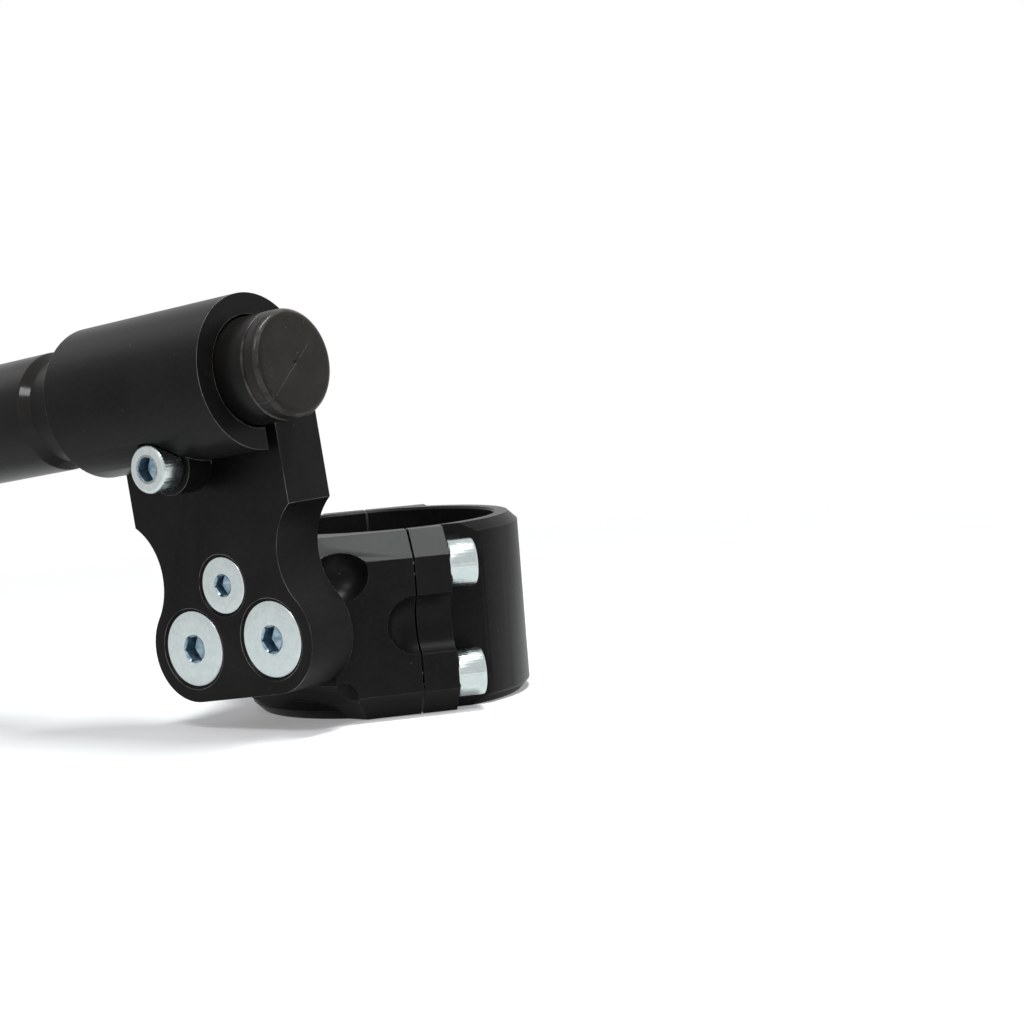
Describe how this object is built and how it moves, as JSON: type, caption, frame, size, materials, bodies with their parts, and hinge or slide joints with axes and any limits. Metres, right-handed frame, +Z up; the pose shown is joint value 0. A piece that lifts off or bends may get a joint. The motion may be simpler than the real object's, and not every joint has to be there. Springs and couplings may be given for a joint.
{
  "type": "clip on handlebar",
  "caption": "Left-hand clip-on handlebar: split fork clamp, bolted lobed riser with a split barrel, and a stepped tubular bar with end plugs.",
  "frame": {"origin": "centre of the fork clamp, on the axis of the fork tube, half way up the clamp", "axes": "+Z up along the fork tube; +X from the clamp's rear half to its cap, square to the seam; +Y from the near ears with the large bolts to the far ears with the small screws"},
  "size_m": [0.264, 0.2553, 0.091],
  "materials": {
    "anodised_black": "satin black anodised",
    "bar_black": "satin black anodised, turned chamfer polished",
    "plug_black": "fine matt black, lightly scratched",
    "zinc": "bluish zinc plated"
  },
  "bodies": {
    "root": {"clamp_rear": "anodised_black", "clamp_cap": "anodised_black", "clamp_screw_top": "zinc", "clamp_screw_bottom": "zinc", "far_screw_top": "zinc", "far_screw_bottom": "zinc", "riser": "anodised_black", "riser_screw_inner": "zinc", "riser_screw_outer": "zinc", "riser_screw_upper": "zinc", "pinch_screw": "zinc", "handlebar_tube": "bar_black", "inner_end_plug": "plug_black", "outer_end_cap": "bar_black"}
  },
  "joints": []
}
